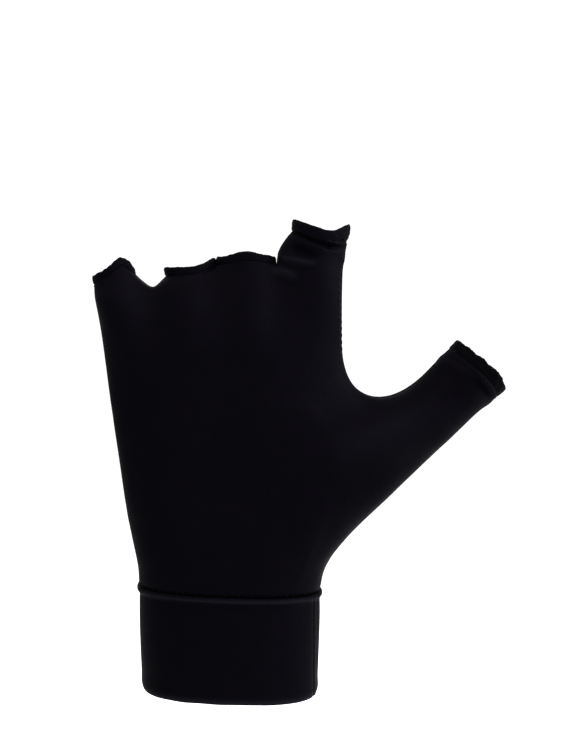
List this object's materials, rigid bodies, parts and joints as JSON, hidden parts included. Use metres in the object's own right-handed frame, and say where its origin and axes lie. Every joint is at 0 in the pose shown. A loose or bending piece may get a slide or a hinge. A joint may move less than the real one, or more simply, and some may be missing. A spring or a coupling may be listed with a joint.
{
  "type": "compression glove",
  "caption": "Half-finger stretch compression glove for the right hand, in its worn form, with a doubled wrist cuff and hemmed finger and thumb openings.",
  "frame": {"origin": "middle of the wrist opening, at the height of the cuff's rim", "axes": "+Z from the wrist to the fingers, +X to the thumb's side, +Y from the palm to the back of the hand"},
  "size_m": [0.1258, 0.0381, 0.1464],
  "materials": {
    "body_jersey": "matte black stretch knit",
    "cuff_jersey": "matte black doubled stretch knit",
    "hem_jersey": "matte black turned knit edge"
  },
  "bodies": {
    "root": {"palm_panel": "body_jersey", "back_panel": "body_jersey", "wrist_cuff": "cuff_jersey", "little_hem": "hem_jersey", "ring_hem": "hem_jersey", "middle_hem": "hem_jersey", "index_hem": "hem_jersey", "thumb_hem": "hem_jersey"}
  },
  "joints": []
}
